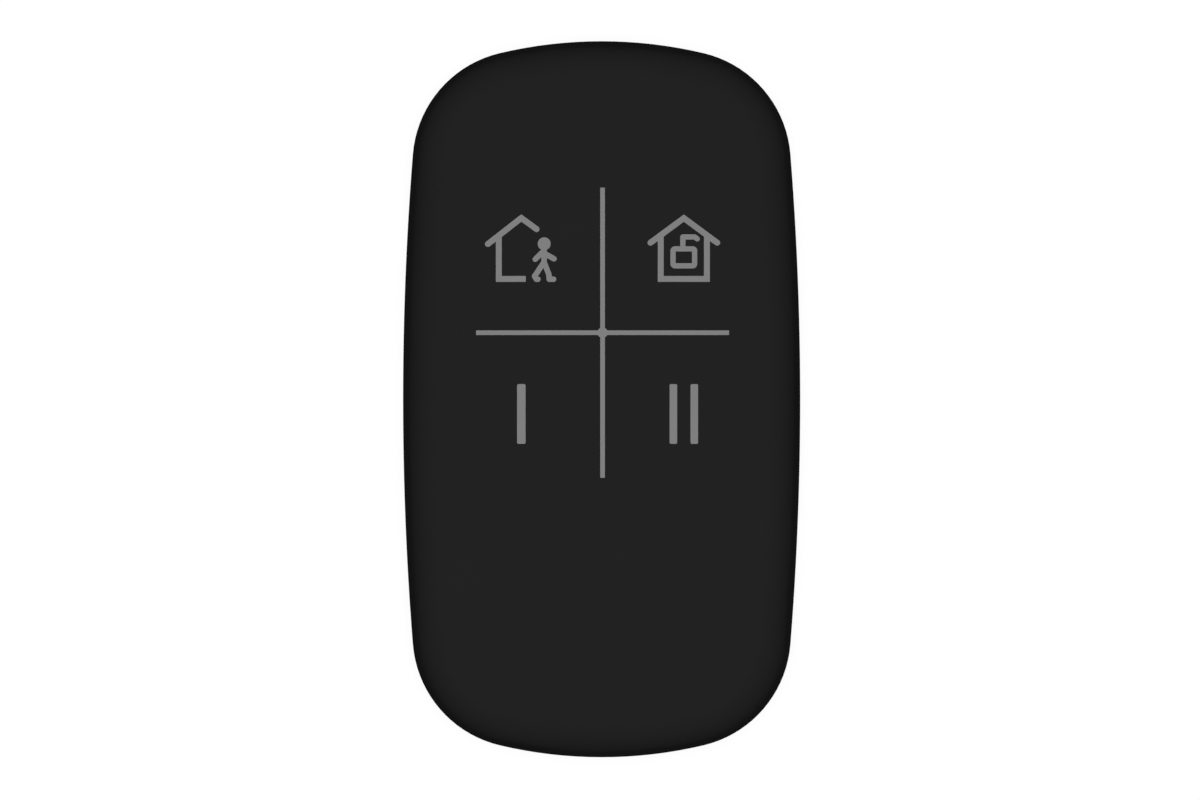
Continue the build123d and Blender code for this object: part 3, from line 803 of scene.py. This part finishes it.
def makeFoamPad(form):
    low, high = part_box("door_pad")
    middle = (low + high) / 2
    selectNothing()
    bpy.ops.mesh.primitive_cylinder_add(vertices=form["sides"], radius=(high.x - low.x) / 2,
                                        depth=high.z - low.z, location=middle)
    pad = bpy.context.object
    pad.name = "foam_disc"
    bpy.ops.object.transform_apply(location=True)
    bpy.ops.object.mode_set(mode="EDIT")
    bpy.ops.mesh.select_all(action="SELECT")
    bpy.ops.mesh.bisect(plane_co=middle, plane_no=(0, 0, 1))
    bpy.ops.transform.resize(value=(form["bulge"], form["bulge"], 1), center_override=middle)
    bpy.ops.mesh.select_all(action="DESELECT")
    shape = bmesh.from_edit_mesh(pad.data)
    for edge in shape.edges:
        flat = abs(edge.verts[0].co.z - edge.verts[1].co.z) < levelTolerance
        atFace = abs(edge.verts[0].co.z - middle.z) > form["nearFace"] * mm
        edge.select = flat and atFace
    bmesh.update_edit_mesh(pad.data)
    bpy.ops.mesh.bevel(offset=form["edgeRound"] * mm, segments=form["edgeSteps"])
    bpy.ops.mesh.select_all(action="DESELECT")
    shape = bmesh.from_edit_mesh(pad.data)
    for face in shape.faces:
        face.select = len(face.verts) > quadCorners
    bmesh.update_edit_mesh(pad.data)
    bpy.ops.mesh.inset(thickness=form["faceInset"] * mm)
    bpy.ops.object.mode_set(mode="OBJECT")
    bpy.ops.object.shade_smooth_by_angle(angle=math.radians(form["smoothAngle"]))
    dressPiece(pad, "foam_pad", "door_pad")
    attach(pad, "battery_door")


makeFoamPad(foamPadForm)
print("foam disc made")


# Snap domes in the key switches: pressed discs, which flatten under the stem on the real switch; here
# each is built at rest

snapDomeForm = {
    "sides": 48,
    "rim": 0.16,
    "rings": 7,
    "dimple": 0.28,
    "dimpleDepth": 0.05,
    "dimpleShares": ((0.6, 0.7), (0.2, 1.0)),  # each ring's share of the dimple's radius and depth
    "thickness": 0.07,
    "flatShare": 0.286,  # height left when pressed, as a share of the height at rest
    "smoothAngle": 30,
}


# Radius and height of each ring, from the rim to the middle
def domeProfile(form, radius, height):
    rise = height - form["thickness"] * mm
    reach = radius - form["rim"] * mm
    bulge = (reach ** 2 + rise ** 2) / (2 * rise)
    inner = form["dimple"] * mm
    profile = [(radius, 0)]
    for step in range(form["rings"] + 1):
        ring = reach + (inner - reach) * step / form["rings"]
        profile.append((ring, rise - bulge + math.sqrt(bulge ** 2 - ring ** 2)))
    crest = profile[-1][1]
    for radiusShare, depthShare in form["dimpleShares"]:
        profile.append((inner * radiusShare, crest - form["dimpleDepth"] * mm * depthShare))
    return profile


def makeSnapDome(form, key):
    low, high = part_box("switch_dome_" + key)
    middle = (low + high) / 2
    turns = [2 * math.pi * side / form["sides"] for side in range(form["sides"])]
    rings = []
    for radius, height in domeProfile(form, (high.x - low.x) / 2, high.z - low.z):
        level = low.z + form["thickness"] * mm + height
        centre = Vector((middle.x, middle.y, level))
        rings.append([centre + Vector((radius * math.cos(turn), radius * math.sin(turn), 0))
                      for turn in turns])
    dome = startLoop("snap_dome_" + key, rings[0])
    for ring in rings[1:]:
        extrudeRing(ring)
    bpy.ops.mesh.edge_face_add()
    bpy.ops.mesh.select_all(action="SELECT")
    bpy.ops.mesh.normals_make_consistent(inside=False)
    bpy.ops.object.mode_set(mode="OBJECT")
    thick = dome.modifiers.new("thickness", "SOLIDIFY")
    thick.thickness = form["thickness"] * mm
    thick.offset = -1
    bpy.ops.object.modifier_apply(modifier="thickness")
    bpy.ops.object.shade_smooth_by_angle(angle=math.radians(form["smoothAngle"]))
    dressPiece(dome, "dome_steel", "switch_dome_" + key)
    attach(dome, "root")
    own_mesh(dome)


for keyName in keyNames:
    makeSnapDome(snapDomeForm, keyName)
print("snap domes made")

bpy.context.scene.view_settings.view_transform = "Standard"
